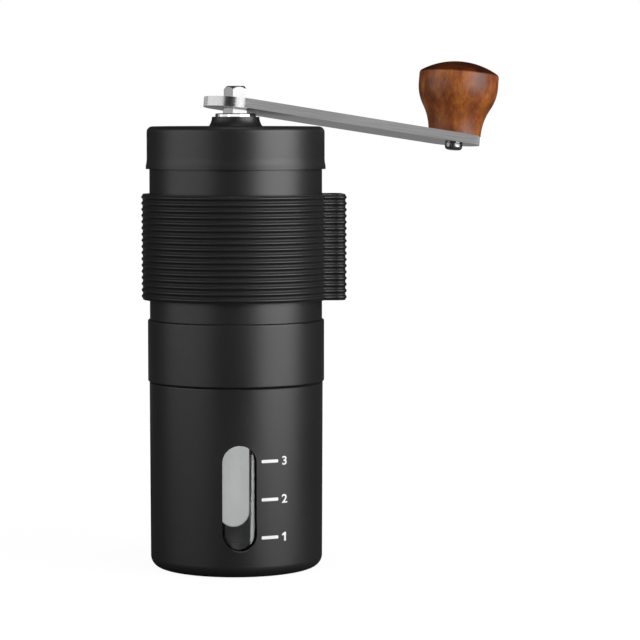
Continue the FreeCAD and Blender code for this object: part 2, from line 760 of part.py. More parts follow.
def make_bearing_bridge():
    """Funnel ring that clamps the ring burr, with spokes up to the hub that holds the bushes."""
    body = new_body("bearing_bridge")
    revolve(body, box_corners(HUB_BORE, HUB_RADIUS, HUB_LOW, HUB_TOP))
    side = new_sketch(body, "XZ_Plane")
    draw_outline(side, [
        (f"{HUB_RADIUS} - spoke_inset", f"{HUB_LOW} + spoke_inset"),
        (f"{HOUSING_RADIUS} - 3 * spoke_inset", f"{WEB_TOP} + spoke_foot"),
        (f"{HOUSING_RADIUS} - spoke_inset", f"{WEB_TOP} + funnel_rise - spoke_inset"),
        (f"{HUB_RADIUS} - spoke_inset", f"{HUB_TOP} - spoke_inset"),
    ])
    spoke = extrude(body, side, "Pad", "spoke_width", both_ways=True)
    repeat_round(body, [spoke], "spoke_count")
    revolve(body, [
        (FUNNEL_BORE, WEB_TOP),
        (HOUSING_RADIUS, WEB_TOP),
        (HOUSING_RADIUS, f"{WEB_TOP} + funnel_rise"),
        (FUNNEL_BORE, f"{WEB_TOP} + funnel_edge"),
    ])
    top = new_sketch(body, "XY_Plane", f"{WEB_TOP} + funnel_rise")
    draw_circle(top, "screw_head_radius + slide_gap", *screw_spot(between=True))
    counterbore = extrude(body, top, "Pocket", "funnel_rise - screw_grip")
    floor = new_sketch(body, "XY_Plane", f"{WEB_TOP} + screw_grip")
    draw_circle(floor, SCREW_HOLE, *screw_spot(between=True))
    hole = extrude(body, floor, "Pocket", "screw_grip")
    repeat_round(body, [counterbore, hole], "spoke_count")
    return body


def make_bush(label, face, away):
    """Flanged bush in one end of the hub; away is + or - for where its flange lies."""
    inward = "-" if away == "+" else "+"
    body = new_body(label)
    revolve(body, [
        (SHAFT_BORE, f"{face} {away} bush_flange"),
        (BUSH_FLANGE_RADIUS, f"{face} {away} bush_flange"),
        (BUSH_FLANGE_RADIUS, face),
        (BUSH_RADIUS, face),
        (BUSH_RADIUS, f"{face} {inward} bush_length"),
        (SHAFT_BORE, f"{face} {inward} bush_length"),
    ])
    return body


def make_screws(label, level, grip, between, upward):
    """A set of cross-recess screws on one circle, each a solid of its own."""
    screws = []
    length = f"({grip} + screw_bite - slide_gap)"
    for index in range(round(value("spoke_count"))):
        body = new_body(f"{label}_{index + 1}")
        revolve(body, [
            ("0", f"-{length}"),
            ("screw_radius", f"-{length}"),
            ("screw_radius", "0"),
            ("screw_head_radius", "0"),
            ("screw_head_radius", "screw_head_height"),
            ("0", "screw_head_height"),
        ])
        recess = new_sketch(body, "XY_Plane", "screw_head_height")
        draw_outline(recess, cross_corners("screw_radius", "recess_width / 2"))
        extrude(body, recess, "Pocket", "recess_depth")
        turn = f"({index} + {0.5 if between else 0}) * 360 / spoke_count"
        place(
            body,
            x=f"({SCREW_CIRCLE} * cos({turn}))",
            y=f"({SCREW_CIRCLE} * sin({turn}))",
            z=level,
            roll="180" if upward else "0",
        )
        screws.append(body)
    group = doc.addObject("Part::Compound", label)
    group.Links = screws
    return group


def pentagon_corners(radius):
    """A five-sided section with one corner towards the knob."""
    turns = [f"({index} * 72 + crank_azimuth)" for index in range(5)]
    return [(f"({radius} * cos{turn})", f"({radius} * sin{turn})") for turn in turns]


def make_drive_shaft():
    """Shaft: threaded tip, keyed stretch, shoulder, clip groove, plain stretch and five-sided head."""
    body = new_body("drive_shaft")
    groove_low = f"{CLIP_LOW} - press_gap"
    groove_top = f"{CLIP_TOP} + press_gap"
    revolve(body, [
        ("0", SHAFT_LOW),
        (f"{THREAD_RADIUS} - tip_bevel", SHAFT_LOW),
        (THREAD_RADIUS, f"{SHAFT_LOW} + tip_bevel"),
        (THREAD_RADIUS, DRIVE_LOW),
        ("shaft_radius", DRIVE_LOW),
        ("shaft_radius", SHOULDER_LOW),
        (SHOULDER_RADIUS, SHOULDER_LOW),
        (SHOULDER_RADIUS, SHOULDER_TOP),
        ("shaft_radius", SHOULDER_TOP),
        ("shaft_radius", groove_low),
        (GROOVE_RADIUS, groove_low),
        (GROOVE_RADIUS, groove_top),
        ("shaft_radius", groove_top),
        ("shaft_radius", NECK_LEVEL),
        ("0", NECK_LEVEL),
    ])
    flats = new_sketch(body, "XY_Plane", SHOULDER_LOW)
    reach = "(2 * shaft_radius)"
    draw_outline(flats, box_corners(FLAT_HALF, reach, f"-{reach}", reach))
    draw_outline(flats, box_corners(f"-{reach}", f"-{FLAT_HALF}", f"-{reach}", reach))
    extrude(body, flats, "Pocket", f"{SHOULDER_LOW} - {DRIVE_LOW}")
    steps = [("shaft_radius", NECK_LEVEL, SEAT_LEVEL), (HEAD_RADIUS, SEAT_LEVEL, SHAFT_TOP)]
    for radius, low, high in steps:
        sketch = new_sketch(body, "XY_Plane", low)
        draw_outline(sketch, pentagon_corners(radius))
        extrude(body, sketch, "Pad", f"{high} - {low}")
    revolve(body, [
        (f"{HEAD_RADIUS} - head_bevel", SHAFT_TOP),
        (f"{HEAD_RADIUS} + head_bevel", f"{SHAFT_TOP} - 2 * head_bevel"),
        (f"{HEAD_RADIUS} + head_bevel", SHAFT_TOP),
    ], kind="Groove")
    return body


def make_shaft_clip():
    """Open spring clip in the shaft's groove."""
    radius = "(shaft_radius + clip_width)"
    body = ring("shaft_clip", f"({GROOVE_RADIUS} + press_gap)", radius, CLIP_LOW, CLIP_TOP)
    mouth = new_sketch(body, "XY_Plane", CLIP_TOP)
    half = f"({GROOVE_RADIUS} - groove_depth)"
    draw_outline(mouth, box_corners(f"-{half}", half, f"-2 * {radius}", "0"))
    extrude(body, mouth, "Pocket", "clip_height")
    return body


def make_burr_spring():
    """Coil spring between the shaft's shoulder and the burr, one unbroken wire."""
    wire = value("spring_wire_radius")
    radius = value(SPRING_RADIUS)
    low = value(SPRING_LOW) + wire + value("press_gap")
    high = value(SHOULDER_LOW) - wire - value("press_gap")
    turns = value("spring_turns")

    def spot(turn):
        angle = 2 * math.pi * turn
        rise = low + (high - low) * turn / turns
        return FreeCAD.Vector(radius * math.cos(angle), radius * math.sin(angle), rise)

    quarters = round(turns * 4)
    step = turns / quarters
    arcs = [Part.Arc(spot(i * step), spot((i + 0.5) * step), spot((i + 1) * step)) for i in range(quarters)]
    path = Part.Wire([arc.toShape() for arc in arcs])
    section = Part.Circle(spot(0), arcs[0].tangent(arcs[0].FirstParameter)[0], wire)
    coil = path.makePipeShell([Part.Wire([section.toShape()])], True, False)
    print("burr_spring least gap to itself:", round((high - low) / turns - 2 * wire, 3))
    feature = doc.addObject("Part::Feature", "burr_spring")
    feature.Shape = coil
    return feature


def make_crank_arm():
    """Flat steel bar with round ends, a five-sided hole along the shaft and a bolt hole at the knob."""
    blank = new_body("crank_blank")
    outline = new_sketch(blank, "XY_Plane")
    draw_outline(outline, slot_corners("(-arm_overhang)", "(crank_length - arm_overhang)", "arm_radius"))
    draw_circle(outline, BOLT_HOLE, "crank_length")
    extrude(blank, outline, "Pad", "arm_thickness")
    place(blank, z=ARM_LEVEL, yaw="crank_azimuth", pitch="crank_slope")
    hole = doc.addObject("Part::Prism", "crank_hole")
    hole.Polygon = 5
    bind(hole, "Circumradius", f"{HEAD_RADIUS} + head_gap")
    bind(hole, "Height", "6 * arm_thickness")
    place(hole, z=f"({ARM_LEVEL} - 2 * arm_thickness)", yaw="crank_azimuth")
    arm = doc.addObject("Part::Cut", "crank_arm")
    arm.Base = blank
    arm.Tool = hole
    return arm


def on_knob(body):
    """Stands a body in the knob's frame, square to the bar."""
    place(body, x=KNOB_X, y=KNOB_Y, z=KNOB_Z, yaw="crank_azimuth", pitch="crank_slope")
    return body


def make_knob():
    """Turned wooden knob: hollow flank, swelling waist, rounded shoulder and low crown."""
    swell = "(knob_radius - knob_foot_radius)"
    flank = f"((knob_waist^2 + {swell}^2) / (2 * {swell}))"
    middle = "(knob_radius - knob_shoulder)"
    level = "(knob_waist + knob_shoulder_rise)"
    height = f"({level} + knob_shoulder + knob_crown)"
    dome = f"(({middle}^2 + (knob_shoulder + knob_crown)^2 - knob_shoulder^2) / (2 * knob_crown))"
    share = f"({dome} / ({dome} - knob_shoulder))"
    brow = f"({height} - {dome} + {share} * ({level} - {height} + {dome}))"
    bore = f"({INSERT_RADIUS} + press_gap)"
    recess = f"({KNOB_WASHER_RADIUS} + slide_gap)"
    bore_top = f"({KNOB_BASE} + insert_length + slide_gap)"
    body = new_body("knob")
    revolve(body, [
        (bore, KNOB_BASE),
        (recess, KNOB_BASE),
        (recess, KNOB_FOOT),
        ("knob_foot_radius", KNOB_FOOT, f"-(knob_turn * {flank})"),
        (f"(knob_foot_radius + knob_turn * {swell})", f"({KNOB_FOOT} + knob_turn * knob_waist)",
         f"((1 - knob_turn) * {flank})"),
        ("knob_radius", f"({KNOB_FOOT} + knob_waist)"),
        ("knob_radius", f"({KNOB_FOOT} + {level})", "knob_shoulder"),
        (f"({middle} * {share})", f"({KNOB_FOOT} + {brow})", dome),
        ("0", f"({KNOB_FOOT} + {height})"),
        ("0", bore_top),
        (bore, bore_top),
    ])
    return on_knob(body)


def make_knob_bolt():
    """Pan-head shoulder bolt under the bar: it turns in the bar and screws into the knob's insert."""
    body = new_body("knob_bolt")
    low = "(-bolt_head_height - run_gap)"
    revolve(body, [
        ("0", low),
        ("bolt_head_radius - bolt_head_round", low, "bolt_head_round"),
        ("bolt_head_radius", f"({low} + bolt_head_round)"),
        ("bolt_head_radius", "-run_gap"),
        ("bolt_radius", "-run_gap"),
        ("bolt_radius", KNOB_BASE),
        (BOLT_THREAD_RADIUS, KNOB_BASE),
        (BOLT_THREAD_RADIUS, f"({KNOB_BASE} + bolt_bite)"),
        ("0", f"({KNOB_BASE} + bolt_bite)"),
    ])
    recess = new_sketch(body, "XY_Plane", low)
    draw_outline(recess, cross_corners("bolt_head_radius - bolt_head_round", "bolt_recess_width"))
    extrude(body, recess, "Pocket", "bolt_recess_depth", reverse=True)
    return on_knob(body)


def build():
    """Every sub-part, from the jar up to the knob."""
    carrier_bore = "(shaft_radius + slide_gap)"
    spring_seat = f"({carrier_bore} + spring_washer_width)"
    washer_top = f"({WASHER_LOW} + washer_height)"
    thread_hole = f"({BOLT_THREAD_RADIUS} + press_gap)"
    insert_top = f"({KNOB_BASE} + insert_length)"
    return [
        make_jar_shell(),
        make_jar_liner(),
        ring("jar_seal", LINER_BORE, LINER_RADIUS, LINER_TOP, SEAL_TOP),
        make_collar(),
        make_hopper_tube(),
        make_hand_sleeve(),
        make_lid(),
        make_lid_bush(),
        ring("lid_seal", TUBE_BORE, f"({LID_BORE} - press_gap)", LID_SEAL_LOW, LID_UNDER),
        make_burr_housing(),
        make_screws("housing_screws", FLANGE_LOW, "flange_height", between=False, upward=True),
        make_ring_burr(),
        make_inner_burr(),
        make_burr_carrier(),
        make_adjusting_nut(),
        make_bearing_bridge(),
        make_screws("bridge_screws", f"({WEB_TOP} + screw_grip)", "screw_grip", between=True, upward=False),
        make_bush("upper_bush", HUB_TOP, "+"),
        make_bush("lower_bush", HUB_LOW, "-"),
        make_drive_shaft(),
        ring("thrust_washer", SHAFT_BORE, BUSH_FLANGE_RADIUS, WASHER_LOW, washer_top),
        make_shaft_clip(),
        ring("spring_washer", carrier_bore, spring_seat, BURR_TOP, SPRING_LOW),
        make_burr_spring(),
        make_crank_arm(),
        make_knob(),
        on_knob(ring("knob_insert", thread_hole, INSERT_RADIUS, KNOB_BASE, insert_top)),
        on_knob(ring("knob_washer", BOLT_HOLE, KNOB_WASHER_RADIUS, WASHER_BASE, KNOB_BASE)),
        make_knob_bolt(),
    ]


def check(parts):
    """Stops on a failed object, an empty or broken shape, or a cut that cuts nothing."""
    for item in doc.Objects:
        if "Invalid" in item.State or "Error" in item.State:
            raise RuntimeError(f"{item.Label} failed: {item.State}")
        if item.TypeId in ("PartDesign::Pocket", "PartDesign::Groove", "PartDesign::SubtractiveCylinder"):
            if item.Shape.Volume >= item.BaseFeature.Shape.Volume:
                raise RuntimeError(f"{item.Label} cuts nothing")
    for part in parts:
        if part.Shape.isNull() or not part.Shape.isValid():
            raise RuntimeError(f"{part.Label} has no valid shape")


parts = build()
doc.recompute()
check(parts)
os.makedirs("parts", exist_ok=True)
for part in parts:
    part.Shape.exportStep(f"parts/{part.Label}.step")
    print(part.Label, len(part.Shape.Solids), round(part.Shape.Volume, 2))
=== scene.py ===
import json
import math

import bmesh
import bpy
from mathutils import Euler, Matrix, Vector


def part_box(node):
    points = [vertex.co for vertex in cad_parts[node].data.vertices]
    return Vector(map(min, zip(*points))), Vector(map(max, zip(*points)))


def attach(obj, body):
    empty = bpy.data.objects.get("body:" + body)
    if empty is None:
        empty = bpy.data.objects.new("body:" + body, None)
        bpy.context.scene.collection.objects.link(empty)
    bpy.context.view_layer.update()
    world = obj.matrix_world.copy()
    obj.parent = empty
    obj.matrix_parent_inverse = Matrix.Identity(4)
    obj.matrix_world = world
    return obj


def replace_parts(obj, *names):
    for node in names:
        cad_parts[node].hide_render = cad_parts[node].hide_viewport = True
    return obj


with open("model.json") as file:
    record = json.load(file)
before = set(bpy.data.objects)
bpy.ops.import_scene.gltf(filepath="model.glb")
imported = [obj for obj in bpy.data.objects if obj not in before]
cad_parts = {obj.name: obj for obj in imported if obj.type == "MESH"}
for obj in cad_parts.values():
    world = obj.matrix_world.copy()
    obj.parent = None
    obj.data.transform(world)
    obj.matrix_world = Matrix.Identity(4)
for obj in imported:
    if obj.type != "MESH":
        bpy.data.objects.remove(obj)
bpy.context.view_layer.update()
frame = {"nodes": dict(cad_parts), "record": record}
nodes = frame["nodes"]
scene = bpy.context.scene
scene.view_settings.view_transform = "Standard"
MM = 0.001

# Crank's place and lean, from the axis that its knob spins on
knob_spin = next(joint for joint in frame["record"]["behaviour"]["joints"] if joint["name"] == "knob_spin")
KNOB_SPOT = knob_spin["pos_m"]
CRANK_PITCH = math.acos(knob_spin["axis"][2])
CRANK_YAW = math.atan2(knob_spin["axis"][1], knob_spin["axis"][0])
CRANK_TURN = (0, CRANK_PITCH, CRANK_YAW)

# Height above that spot where the painted shade on the knob's top starts, and over how much it fades in
CROWN_RIM = 23.4 * MM
CROWN_SHADE_FADE = 0.6 * MM


# Materials

class Look:
    """A principled material in object coordinates: noise scales count per metre, and depths are in metres."""

    def __init__(self, name, **sockets):
        self.mat = bpy.data.materials.new(name)
        self.mat.use_nodes = True
        self.tree = self.mat.node_tree
        self.shader = self.tree.nodes["Principled BSDF"]
        self.coords = self.tree.nodes.new("ShaderNodeTexCoord").outputs["Object"]
        for socket, number in sockets.items():
            self.shader.inputs[socket.replace("_", " ")].default_value = number

    def on_crank(self, scale, spot=KNOB_SPOT):
        """Coordinates from a spot along the crank, across it and up its knob, stretched by scale."""
        crank = self.tree.nodes.new("ShaderNodeMapping")
        crank.vector_type = "TEXTURE"
        crank.inputs["Location"].default_value = spot
        crank.inputs["Rotation"].default_value = CRANK_TURN
        self.tree.links.new(self.coords, crank.inputs["Vector"])
        stretch = self.tree.nodes.new("ShaderNodeMapping")
        stretch.inputs["Scale"].default_value = scale
        self.tree.links.new(crank.outputs["Vector"], stretch.inputs["Vector"])
        return stretch.outputs["Vector"]

    def noise(self, scale, detail, rough=0.5, vector=None):
        """A cloudy value around a half."""
        node = self.tree.nodes.new("ShaderNodeTexNoise")
        node.inputs["Scale"].default_value = scale
        node.inputs["Detail"].default_value = detail
        node.inputs["Roughness"].default_value = rough
        self.tree.links.new(vector or self.coords, node.inputs["Vector"])
        return node.outputs["Fac"]

    def ramp(self, source, *stops):
        """A colour for each value, from stops of place and colour."""
        node = self.tree.nodes.new("ShaderNodeValToRGB")
        node.color_ramp.elements.remove(node.color_ramp.elements[0])
        first = node.color_ramp.elements[0]
        first.position, first.color = stops[0][0], (*stops[0][1], 1)
        for place, color in stops[1:]:
            node.color_ramp.elements.new(place).color = (*color, 1)
        self.tree.links.new(source, node.inputs["Fac"])
        return node.outputs["Color"]

    def spread(self, source, low, high, start=0.3, end=0.7):
        """A change from low to high while the source goes from start to end."""
        node = self.tree.nodes.new("ShaderNodeMapRange")
        node.inputs["From Min"].default_value = start
        node.inputs["From Max"].default_value = end
        node.inputs["To Min"].default_value = low
        node.inputs["To Max"].default_value = high
        self.tree.links.new(source, node.inputs["Value"])
        return node.outputs["Result"]

    def multiply(self, first, second):
        """One colour tinted by another."""
        node = self.tree.nodes.new("ShaderNodeMix")
        node.data_type = "RGBA"
        node.blend_type = "MULTIPLY"
        sockets = {socket.identifier: socket for socket in (*node.inputs, *node.outputs)}
        sockets["Factor_Float"].default_value = 1.0
        self.tree.links.new(first, sockets["A_Color"])
        self.tree.links.new(second, sockets["B_Color"])
        return sockets["Result_Color"]

    def link(self, source, socket):
        """Leads a value or a colour to the shader."""
        self.tree.links.new(source, self.shader.inputs[socket])

    def bump(self, source, depth, strength):
        """Raises the surface by the source, and gives the finished material."""
        node = self.tree.nodes.new("ShaderNodeBump")
        node.inputs["Strength"].default_value = strength
        node.inputs["Distance"].default_value = depth
        self.tree.links.new(source, node.inputs["Height"])
        self.link(node.outputs["Normal"], "Normal")
        return self.mat


def coat_look():
    """Satin black powder coat: fine speckle and a faint orange peel."""
    look = Look("black_coat", Specular_IOR_Level=0.9)
    speckle = look.noise(5200, detail=3, rough=0.6)
    look.link(look.ramp(speckle, (0.35, (0.0075, 0.0075, 0.0078)), (0.6, (0.013, 0.013, 0.0132)),
                        (0.78, (0.026, 0.026, 0.026))), "Base Color")
    look.link(look.spread(look.noise(45, detail=3), 0.38, 0.43), "Roughness")
    return look.bump(look.noise(2600, detail=2), 0.00003, 0.5)


def silicone_look():
    """Moulded black silicone: its ridges are rubbed smooth, and the grooves keep a dull skin."""
    look = Look("silicone")
    attribute = look.tree.nodes.new("ShaderNodeAttribute")
    attribute.attribute_name = "ridge"
    ridge = attribute.outputs["Fac"]
    look.link(look.ramp(look.noise(1800, detail=3, rough=0.6), (0.35, (0.01, 0.01, 0.0102)),
                        (0.75, (0.018, 0.018, 0.0182))), "Base Color")
    look.link(look.spread(ridge, 0.48, 0.38, start=0.3, end=0.9), "Roughness")
    look.link(look.spread(ridge, 0.47, 0.78, start=0.3, end=0.9), "Specular IOR Level")
    return look.bump(look.noise(2400, detail=2), 0.00002, 0.4)


def bar_look():
    """Steel brushed along the crank, with a cloudy tone."""
    look = Look("bar_steel", Metallic=1.0)
    lines = look.noise(1.0, detail=4, rough=0.65, vector=look.on_crank((40, 2600, 2600), spot=(0, 0, 0)))
    tone = look.ramp(lines, (0.3, (0.3, 0.3, 0.305)), (0.7, (0.46, 0.46, 0.465)))
    shade = look.ramp(look.noise(35, detail=2), (0.3, (0.9, 0.9, 0.9)), (0.7, (1, 1, 1)))
    look.link(look.multiply(tone, shade), "Base Color")
    look.link(look.spread(lines, 0.2, 0.28), "Roughness")
    return look.bump(lines, 0.000008, 0.4)


def polished_look(name, dark, light, rough):
    """Turned and polished metal with faint smears."""
    look = Look(name, Metallic=1.0)
    smear = look.noise(160, detail=3)
    look.link(look.ramp(smear, (0.3, dark), (0.7, light)), "Base Color")
    look.link(look.spread(smear, *rough), "Roughness")
    return look.bump(look.noise(900, detail=1), 0.000004, 0.3)


def wood_look():
    """Reddish-brown stained hardwood: upright grain, pores and cloudy stain, with painted shade darkening the
    knob's top and dimming its sheen there.
    """
    look = Look("stained_wood")
    fine = look.noise(1.0, detail=4, rough=0.6, vector=look.on_crank((1500, 1500, 120)))
    pores = look.noise(1.0, detail=2, rough=0.5, vector=look.on_crank((3600, 3600, 420)))
    cloud = look.noise(1.0, detail=3, rough=0.55, vector=look.on_crank((170, 170, 110)))
    stain = look.ramp(cloud, (0.32, (0.2, 0.047, 0.01)), (0.5, (0.35, 0.093, 0.019)),
                      (0.66, (0.56, 0.175, 0.03)))
    grain = look.ramp(fine, (0.32, (0.66, 0.6, 0.56)), (0.5, (0.95, 0.93, 0.9)), (0.7, (1.12, 1.12, 1.12)))
    flecks = look.ramp(pores, (0.27, (0.35, 0.3, 0.28)), (0.36, (1, 1, 1)))
    split = look.tree.nodes.new("ShaderNodeSeparateXYZ")
    look.tree.links.new(look.on_crank((1, 1, 1)), split.inputs[0])
    # Painted shade: the knob's top is darkened and given less sheen, standing in for the little light that
    # falls on it from above.
    fade_start, fade_end = CROWN_RIM - CROWN_SHADE_FADE / 2, CROWN_RIM + CROWN_SHADE_FADE / 2
    painted_shade_mask = look.spread(split.outputs["Z"], 0.0, 1.0, fade_start, fade_end)
    painted_crown_shade = look.ramp(painted_shade_mask, (0.0, (1, 1, 1)), (1.0, (0.22, 0.16, 0.1)))
    tone = look.multiply(look.multiply(stain, grain), flecks)
    look.link(look.multiply(tone, painted_crown_shade), "Base Color")
    look.link(look.spread(fine, 0.36, 0.48), "Roughness")
    look.link(look.spread(painted_shade_mask, 0.6, 0.1, start=0.0, end=1.0), "Specular IOR Level")
    return look.bump(fine, 0.00002, 0.35)


def clear_look():
    """Clear, slightly smoky moulded cup."""
    look = Look("clear_plastic", Transmission_Weight=1.0, IOR=1.49)
    haze = look.noise(70, detail=2)
    look.link(look.ramp(haze, (0.3, (0.63, 0.64, 0.64)), (0.7, (0.67, 0.68, 0.68))), "Base Color")
    look.link(look.spread(haze, 0.02, 0.05), "Roughness")
    return look.mat


def plain_look(name, dark, light, rough, scale=900):
    """Moulded plastic, rubber or print with a fine grain."""
    look = Look(name)
    grain = look.noise(scale, detail=3)
    look.link(look.ramp(grain, (0.3, dark), (0.7, light)), "Base Color")
    look.link(look.spread(grain, *rough), "Roughness")
    return look.bump(grain, 0.00001, 0.3)


LOOKS = {
    "black_coat": coat_look(),
    "silicone": silicone_look(),
    "clear_plastic": clear_look(),
    "stained_wood": wood_look(),
    "bar_steel": bar_look(),
    "shaft_steel": polished_look("shaft_steel", (0.66, 0.66, 0.67), (0.78, 0.78, 0.79), (0.08, 0.16)),
    "polished_steel": polished_look("polished_steel", (0.7, 0.7, 0.71), (0.82, 0.82, 0.83), (0.07, 0.14)),
    "screw_steel": polished_look("screw_steel", (0.4, 0.4, 0.41), (0.56, 0.56, 0.57), (0.2, 0.32)),
    "spring_steel": polished_look("spring_steel", (0.36, 0.36, 0.37), (0.48, 0.48, 0.49), (0.25, 0.36)),
    "burr_steel": polished_look("burr_steel", (0.34, 0.34, 0.35), (0.46, 0.46, 0.47), (0.28, 0.4)),
    "insert_brass": polished_look("insert_brass", (0.6, 0.42, 0.16), (0.74, 0.54, 0.24), (0.2, 0.3)),
    "dark_rubber": plain_look("dark_rubber", (0.018, 0.018, 0.018), (0.032, 0.032, 0.032), (0.55, 0.7)),
    "black_plastic": plain_look("black_plastic", (0.014, 0.014, 0.0145), (0.028, 0.028, 0.0285),
                                (0.42, 0.56)),
    "white_plastic": plain_look("white_plastic", (0.72, 0.72, 0.7), (0.8, 0.8, 0.78), (0.35, 0.5)),
    "print": plain_look("print", (0.82, 0.82, 0.81), (0.9, 0.9, 0.89), (0.4, 0.55), scale=2500),
}
for part in frame["record"]["subparts"]:
    slots = nodes[part["node"]].data.materials
    slots.clear()
    slots.append(LOOKS[part["material_slot"]])


# Broken edges on the steel

EDGE_SEGMENTS = 3
EDGE_ANGLE = math.radians(30)


def soften(node, width):
    """Breaks a CAD node's sharp edges."""
    bevel = nodes[node].modifiers.new("edges", "BEVEL")
    bevel.width = width
    bevel.segments = EDGE_SEGMENTS
    bevel.limit_method = "ANGLE"
    bevel.angle_limit = EDGE_ANGLE
    bevel.harden_normals = True


soften("crank_arm", 0.4 * MM)
soften("drive_shaft", 0.3 * MM)


# Pieces made here

def ring_faces(mesh, rings, flip=False):
    """Smooth quads between rings of points."""
    for low, high in zip(rings, rings[1:]):
        for i in range(len(low)):
            j = (i + 1) % len(low)
            quad = (low[i], low[j], high[j], high[i])
            mesh.faces.new(quad[::-1] if flip else quad).smooth = True


def finish_mesh(mesh, name, body, look):
    """Makes a piece of a mesh, which rides on a body."""
    data = bpy.data.meshes.new(name)
    mesh.to_mesh(data)
    mesh.free()
    thing = bpy.data.objects.new(name, data)
    scene.collection.objects.link(thing)
    data.materials.append(LOOKS[look])
    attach(thing, body)
    return thing


# Sleeve with rounded ribs in the CAD sleeve's place, in mm: a rib starts and ends at shares of its pitch

SLEEVE_LOW, SLEEVE_TOP = (corner[2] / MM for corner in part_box("hand_sleeve"))
SLEEVE_RADIUS, SLEEVE_BORE = 29.0, 26.9
LOOP_FACE, LOOP_HALF, LOOP_ROUND = 33.6, 11.1, 3.0
SLOT_IN, SLOT_OUT, SLOT_HALF = 28.3, 32.45, 9.5
RIB_COUNT, RIB_DEPTH = 17, 0.4
RIB_START, RIB_END = 0.18, 0.82
RIB_STEPS, RIB_FULLNESS = 14, 0.9
BEND_STEPS, WALL_STEPS, BORE_STEPS = 8, 150, 128


def arc_points(x, y, radius, start, end, steps):
    """Points along an arc around a middle."""
    turns = [start + (end - start) * i / steps for i in range(steps + 1)]
    return [(x + radius * math.cos(t), y + radius * math.sin(t)) for t in turns]


def sleeve_outline(proud):
    """The sleeve's outer line: a round wall with a square loop on the +X side."""
    radius = SLEEVE_RADIUS + proud
    half = LOOP_HALF + proud
    root = math.sqrt(radius**2 - half**2)
    middle = LOOP_FACE - LOOP_ROUND
    inner = LOOP_HALF - LOOP_ROUND
    bend = LOOP_ROUND + proud
    start = math.atan2(half, root)
    line = arc_points(middle, -inner, bend, -math.pi / 2, 0, BEND_STEPS)
    line += arc_points(middle, inner, bend, 0, math.pi / 2, BEND_STEPS)
    line += arc_points(0, 0, radius, start, 2 * math.pi - start, WALL_STEPS)
    return line


def rib_levels():
    """Heights up the sleeve, each with how far the wall stands proud there."""
    pitch = (SLEEVE_TOP - SLEEVE_LOW) / RIB_COUNT
    levels = [(SLEEVE_LOW, 0.0)]
    for rib in range(RIB_COUNT):
        for step in range(RIB_STEPS + 1):
            share = step / RIB_STEPS
            across = RIB_START + (RIB_END - RIB_START) * share
            proud = RIB_DEPTH * math.sin(math.pi * share) ** RIB_FULLNESS
            levels.append((SLEEVE_LOW + (rib + across) * pitch, proud))
    levels.append((SLEEVE_TOP, 0.0))
    return levels


def make_sleeve():
    """The wall with its ribs, the bore for the tube and the slot for the crank bar."""
    mesh = bmesh.new()
    ridge = mesh.verts.layers.float.new("ridge")

    def loop(line, z, proud=0.0):
        verts = [mesh.verts.new((x * MM, y * MM, z * MM)) for x, y in line]
        for vert in verts:
            vert[ridge] = proud / RIB_DEPTH
        return verts

    bore = arc_points(0, 0, SLEEVE_BORE, 0, 2 * math.pi, BORE_STEPS)[:-1]
    slot = [(SLOT_IN, -SLOT_HALF), (SLOT_OUT, -SLOT_HALF), (SLOT_OUT, SLOT_HALF), (SLOT_IN, SLOT_HALF)]
    outer = [loop(sleeve_outline(proud), z, proud) for z, proud in rib_levels()]
    inside = [[loop(line, z) for z in (SLEEVE_LOW, SLEEVE_TOP)] for line in (bore, slot)]
    ring_faces(mesh, outer)
    for pair in inside:
        ring_faces(mesh, pair, flip=True)
    for end in (0, -1):
        edges = []
        for rim in (outer[end], inside[0][end], inside[1][end]):
            for i, vert in enumerate(rim):
                edge = mesh.edges.get((vert, rim[i - 1]))
                edge.smooth = False
                edges.append(edge)
        bmesh.ops.triangle_fill(mesh, use_beauty=True, use_dissolve=False, edges=edges,
                                normal=(0, 0, 1 if end else -1))
    bmesh.ops.recalc_face_normals(mesh, faces=mesh.faces)
    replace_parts(finish_mesh(mesh, "ribbed_sleeve", "body", "silicone"), "hand_sleeve")


make_sleeve()


# Printed scale beside the front window, in mm: the print reaches a little into the wall

JAR_TOP_RADIUS, JAR_TOP = (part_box("jar_shell")[1][axis] / MM for axis in (0, 2))
JAR_FLARE, BASE_ROUND = 0.2, 3.5
PRINT_LIFT, PRINT_SINK = 0.03, -0.02
TICK_START, TICK_LENGTH, TICK_HEIGHT, TICK_ROUND = 6.74, 5.5, 0.98, 0.3
TICK_CORNER = (0, 0.04, 0.12, TICK_ROUND)
TICK_INSET, TICK_STEPS = 0.7, 10
DIGIT_MIDDLE, DIGIT_HEIGHT, DIGIT_SPREAD, DIGIT_WEIGHT = 14.49, 2.7, 1.12, 0.08
DIGIT_SHARE = 0.69
ONE_OUTLINE = (
    (0.4, 1.35), (0.4, -1.35), (-0.1, -1.35), (-0.1, 0.6), (-0.75, 0.35), (-0.75, 0.8), (-0.05, 1.35),
)
WELD_DISTANCE = 1e-5
SCALE_MARKS = (("3", 35.8), ("2", 24.1), ("1", 12.45))


def jar_radius(z):
    """The jar widens a little towards its top."""
    return JAR_TOP_RADIUS - JAR_FLARE * (JAR_TOP - z) / (JAR_TOP - BASE_ROUND)


def on_jar(run, z, lift):
    """A point of the jar's wall: run is the way round from the front towards the loop."""
    radius = jar_radius(z)
    angle = run / radius
    return ((radius + lift) * math.sin(angle) * MM, -(radius + lift) * math.cos(angle) * MM, z * MM)


